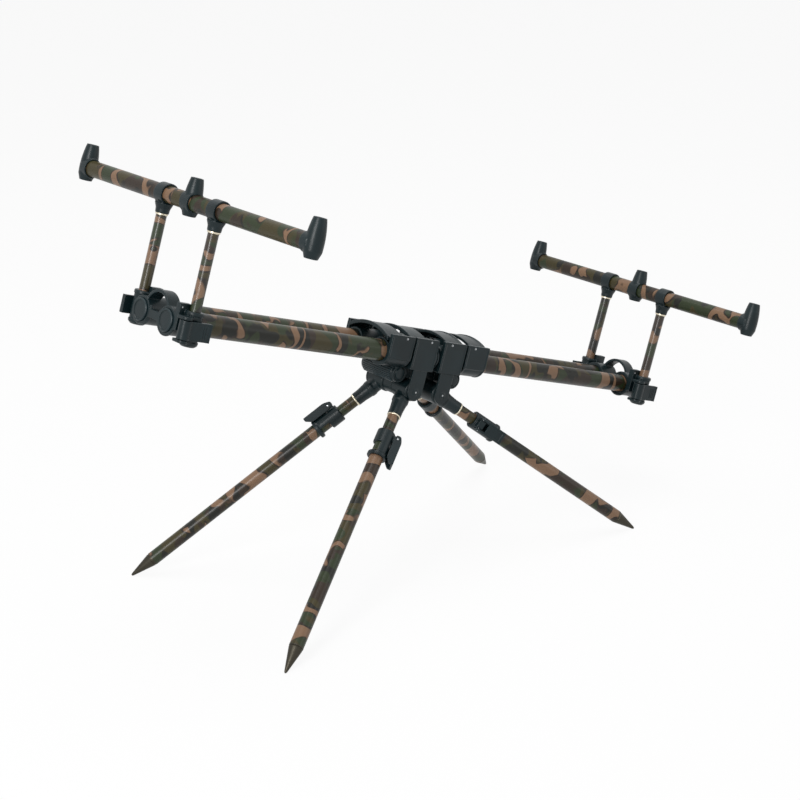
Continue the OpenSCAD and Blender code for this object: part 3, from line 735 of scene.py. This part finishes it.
def buzz_bar(end):
    """Mouldings of one buzz bar: three rests with their threads, two tees and their trim rings."""
    body = f"{end}_buzz"
    place = buzz_frame(end)
    moulded(f"{end}_rest_mouldings", [copy_of(f"{end}_rests")], body, [f"{end}_rests"], 0.45, 8, 0.3)
    spots = (-REST_Y[end], 0, REST_Y[end])
    threads = [thread_ridge(place @ shift(0, y, 0)) for y in spots]
    piece(f"{end}_rest_threads", threads, body, nylon)
    shells = [copy_of(f"{end}_tees")]
    trims = []
    for side in SIDES.values():
        stem = place @ shift(0, side * UPRIGHT_Y, 0)
        neck = [
            (UPRIGHT_R + 0.1, -TEE_DROP), (UPRIGHT_R + 1.5, -TEE_DROP), (UPRIGHT_R + 1.9, -TEE_DROP + 5),
            (UPRIGHT_R + 4.2, -BUZZ_R - 1), (UPRIGHT_R + 0.1, -BUZZ_R - 1),
        ]
        shells.append(turned(neck, stem, 40))
        trims.append(turned([
            (UPRIGHT_R - 0.2, -TEE_DROP - 2), (UPRIGHT_R + 0.5, -TEE_DROP - 2),
            (UPRIGHT_R + 0.9, -TEE_DROP - 1.5), (UPRIGHT_R + 0.9, -TEE_DROP - 0.2),
            (UPRIGHT_R - 0.2, -TEE_DROP),
        ], stem, 40))
    moulded(f"{end}_tee_mouldings", shells, body, [f"{end}_tees"], 0.45, 6, 0.3)
    piece(f"{end}_tee_trims", trims, body, champagne)


for end in ENDS:
    buzz_bar(end)


# Legs

def leg_socket(leg, place):
    """Round knuckle and a sleeve that tapers from a rolled band to a trim ring at its mouth."""
    end, side = leg.split("_")
    bore = UPPER_R + 0.05
    knuckle = [
        (0, KNUCKLE_IN), (KNUCKLE_R - 1.5, KNUCKLE_IN), (KNUCKLE_R, KNUCKLE_IN + 1.5),
        (KNUCKLE_R, KNUCKLE_OUT - 1.5), (KNUCKLE_R - 1.5, KNUCKLE_OUT), (0, KNUCKLE_OUT),
    ]
    sleeve = [
        (0, 0), (SLEEVE_R, 0), (SLEEVE_R, 14), (SLEEVE_R + 0.8, 16), (SLEEVE_R + 0.8, 20),
        (SLEEVE_R, 22), (MOUTH_R, SLEEVE_LEN - 8), (MOUTH_R, SLEEVE_LEN - 0.6),
        (MOUTH_R - 0.4, SLEEVE_LEN), (bore, SLEEVE_LEN), (bore, 14), (0, 14),
    ]
    pin = half(end, side) @ shift(PIVOT_X, 0, -PIVOT_DROP) @ TO_Y
    shells = [turned(knuckle, pin), turned(sleeve, place)]
    moulded(f"{leg}_leg_socket", shells, f"{leg}_leg", [f"{leg}_socket"], 0.45, 5, 0.3)
    trim = [
        (UPPER_R - 0.2, SLEEVE_LEN), (UPPER_R + 0.9, SLEEVE_LEN), (UPPER_R + 1.1, SLEEVE_LEN + 0.3),
        (UPPER_R + 1.1, SLEEVE_LEN + 1.3), (UPPER_R + 0.8, SLEEVE_LEN + 1.7),
        (UPPER_R - 0.2, SLEEVE_LEN + 1.7),
    ]
    piece(f"{leg}_leg_trim", [turned(trim, place, 40)], f"{leg}_leg", champagne)


def lock_collar(leg, place):
    """Split collar: a ring on the upper tube, a flange on the lower one and a bridge under the lever."""
    upper = [
        (UPPER_R + 0.2, COLLAR_START), (COLLAR_R - 0.8, COLLAR_START), (COLLAR_R, COLLAR_START + 0.8),
        (COLLAR_R, LOWER_START + 1), (LOWER_R + 1.2, LOWER_START + 2), (LOWER_R + 0.1, LOWER_START + 2),
        (LOWER_R + 0.1, LOWER_START - 0.5), (UPPER_R + 0.2, LOWER_START - 0.5),
    ]
    flange = [
        (LOWER_R + 0.05, COLLAR_END - 5.5), (FLANGE_R - 0.8, COLLAR_END - 5),
        (FLANGE_R, COLLAR_END - 4.2), (FLANGE_R, COLLAR_END - 0.8), (FLANGE_R - 0.8, COLLAR_END),
        (LOWER_R + 0.05, COLLAR_END),
    ]
    bridge = band(LOWER_R + 0.05, COLLAR_R, -100, 100)
    lug = box_outline(UPPER_R + 1, TRUNNION_OUT + TRUNNION_R, -LUG_HALF, LUG_HALF, 1)
    shells = [
        turned(upper, place, 48), turned(flange, place, 48),
        extruded(bridge, LOWER_START, COLLAR_END - 3, place, 0.3),
        extruded(lug, TRUNNION_S - 2 * TRUNNION_R, TRUNNION_S + 2 * TRUNNION_R, place),
    ]
    moulded(f"{leg}_lock_collar", shells, f"{leg}_lower_leg", [f"{leg}_collar"], 0.45, 4, 0.3)
    head = [
        (0, LOCK_CHEEK_IN - 2), (HEAD_R, LOCK_CHEEK_IN - 2), (HEAD_R, LOCK_CHEEK_OUT + 0.2),
        (0, LOCK_CHEEK_OUT + 0.5),
    ]
    axle = place @ shift(TRUNNION_OUT, 0, TRUNNION_S)
    rivets = [turned(head, axle @ spun(angle, "X"), 24) for angle in (-90, 90)]
    piece(f"{leg}_lock_rivets", rivets, f"{leg}_lower_leg", steel)


def lock_lever(leg, place):
    """Lock lever: two cheeks astride the collar's lug and a web with a framed recess."""
    cheek = softened([
        (TRUNNION_OUT - 2.5, LOCK_TOP, 1), (LOCK_OUT - 3, LOCK_TOP, 2), (LOCK_OUT, TRUNNION_S + 3, 3),
        (LOCK_OUT, LOCK_END, 1), (LOCK_OUT - 4.5, LOCK_END, 1), (LOCK_IN + 1.5, COLLAR_END - 1, 2),
        (LOCK_IN, COLLAR_END - 4, 1), (LOCK_IN, TRUNNION_S + 2.5, 1),
    ])
    web_top = TRUNNION_S + 7.4
    shells = [across(cheek, y0, y1, place, 0.5) for y0, y1 in (
        (LOCK_CHEEK_IN, LOCK_CHEEK_OUT), (-LOCK_CHEEK_OUT, -LOCK_CHEEK_IN),
    )]
    web = box_outline(LOCK_OUT - 2.2, LOCK_OUT - 0.8, -LOCK_CHEEK_OUT + 0.4, LOCK_CHEEK_OUT - 0.4)
    shells.append(extruded(web, web_top, LOCK_END - 0.4, place))
    rail = box_outline(LOCK_OUT - 2.2, LOCK_OUT, -LOCK_CHEEK_OUT + 0.4, LOCK_CHEEK_OUT - 0.4)
    for s in (web_top, LOCK_END - 4):
        shells.append(extruded(rail, s, s + 3.6, place))
    name = f"{leg}_lock_lever"
    moulded(f"{name}_moulding", shells, name, [name], 0.35, 3, 0.3)


def leg_spike(leg, place, length):
    """Turned spike: plug in the tube, a shadow groove and a long cone to a small blunt tip."""
    base = length - SPIKE_LEN
    profile = [
        (0, base - 12), (LOWER_R - 1, base - 12), (LOWER_R - 1, base), (LOWER_R, base),
        (LOWER_R, base + 1.4), (LOWER_R - 0.7, base + 1.8), (LOWER_R - 0.7, base + 2.6),
        (LOWER_R - 0.3, base + 3), (1.9, length - 2.6), (1.4, length - 1), (0.8, length - 0.2),
        (0, length),
    ]
    name = f"{leg}_spike"
    cone = [turned(profile, place, 48)]
    piece(f"{name}_cone", cone, f"{leg}_lower_leg", spike_metal, [name])


for end in ENDS:
    for side in SIDES:
        leg = f"{end}_{side}"
        leg_place = leg_frame(leg)
        leg_socket(leg, leg_place)
        lock_collar(leg, leg_place)
        lock_lever(leg, leg_place)
        leg_spike(leg, leg_place, LEG_LEN[end])


# Floor, light and camera

def seen_ray(tree):
    """1 for rays that show the background directly, in a gloss or through glass."""
    path = add(tree, "ShaderNodeLightPath").outputs
    seen = path["Is Camera Ray"]
    for name in ("Is Glossy Ray", "Is Transmission Ray"):
        seen = add(tree, "ShaderNodeMath", {0: seen, 1: path[name]}, operation="MAXIMUM").outputs[0]
    return seen


def studio_floor():
    """A wide pale floor that shows as white paper and keeps a soft shadow."""
    reach = 15.0
    bm = bmesh.new()
    corners = [(-reach, -reach, 0), (reach, -reach, 0), (reach, reach, 0), (-reach, reach, 0)]
    bm.faces.new([bm.verts.new(corner) for corner in corners])
    mesh = bpy.data.meshes.new("studio_floor")
    bm.to_mesh(mesh)
    bm.free()
    floor = bpy.data.objects.new("studio_floor", mesh)
    bpy.context.scene.collection.objects.link(floor)
    material, tree, shader = new_material("white_paper_floor")
    shader.inputs["Base Color"].default_value = linear("#ececec")
    shader.inputs["Roughness"].default_value = 0.9
    seen = seen_ray(tree)
    share = add(tree, "ShaderNodeMath", {0: seen, 1: 0.92}, operation="MULTIPLY").outputs[0]
    white = add(tree, "ShaderNodeEmission", {"Color": (1, 1, 1, 1), "Strength": 1.0}).outputs[0]
    mix = add(tree, "ShaderNodeMixShader", {0: share, 1: shader.outputs[0], 2: white}).outputs[0]
    tree.links.new(mix, tree.nodes["Material Output"].inputs["Surface"])
    mesh.materials.append(material)


def studio_world():
    world = bpy.data.worlds.new("white_studio")
    bpy.context.scene.world = world
    world.use_nodes = True
    tree = world.node_tree
    sky = tree.nodes["Background"]
    sky.inputs["Color"].default_value = (1, 1, 1, 1)
    strength = add(tree, "ShaderNodeMapRange", {"Value": seen_ray(tree), "To Min": 0.25, "To Max": 1.0})
    tree.links.new(strength.outputs["Result"], sky.inputs["Strength"])


def soft_box(name, spot, target, size, power):
    light = bpy.data.lights.new(name, "AREA")
    light.shape = "RECTANGLE"
    light.size, light.size_y = size
    light.energy = power
    obj = bpy.data.objects.new(name, light)
    obj.location = spot
    obj.rotation_euler = (Vector(target) - Vector(spot)).to_track_quat("-Z", "Y").to_euler()
    bpy.context.scene.collection.objects.link(obj)


def photo_camera():
    """Camera of the photograph: place in metres, heading and dip in degrees, and lens in millimetres."""
    spot = (-1.3089, -1.5179, 0.9413)
    heading = math.radians(50.08)
    dip = math.radians(20.54)
    ahead = Vector((
        math.cos(dip) * math.cos(heading), math.cos(dip) * math.sin(heading), -math.sin(dip),
    ))
    camera = bpy.data.cameras.new("photo_camera")
    camera.sensor_width = 36.0
    camera.lens = 79.5
    obj = bpy.data.objects.new("photo_camera", camera)
    obj.location = spot
    obj.rotation_euler = ahead.to_track_quat("-Z", "Y").to_euler()
    bpy.context.scene.collection.objects.link(obj)
    bpy.context.scene.camera = obj


studio_floor()
studio_world()
centre = (0.0, 0.0, 0.25)
soft_box("key_softbox", (-2.2, -0.9, 1.5), centre, (0.7, 1.6), 42)
soft_box("top_softbox", (0.2, 0.3, 2.6), centre, (1.8, 1.8), 42)
soft_box("fill_softbox", (1.6, -2.2, 1.2), centre, (1.4, 1.4), 6)
photo_camera()
bpy.context.scene.view_settings.view_transform = "Standard"
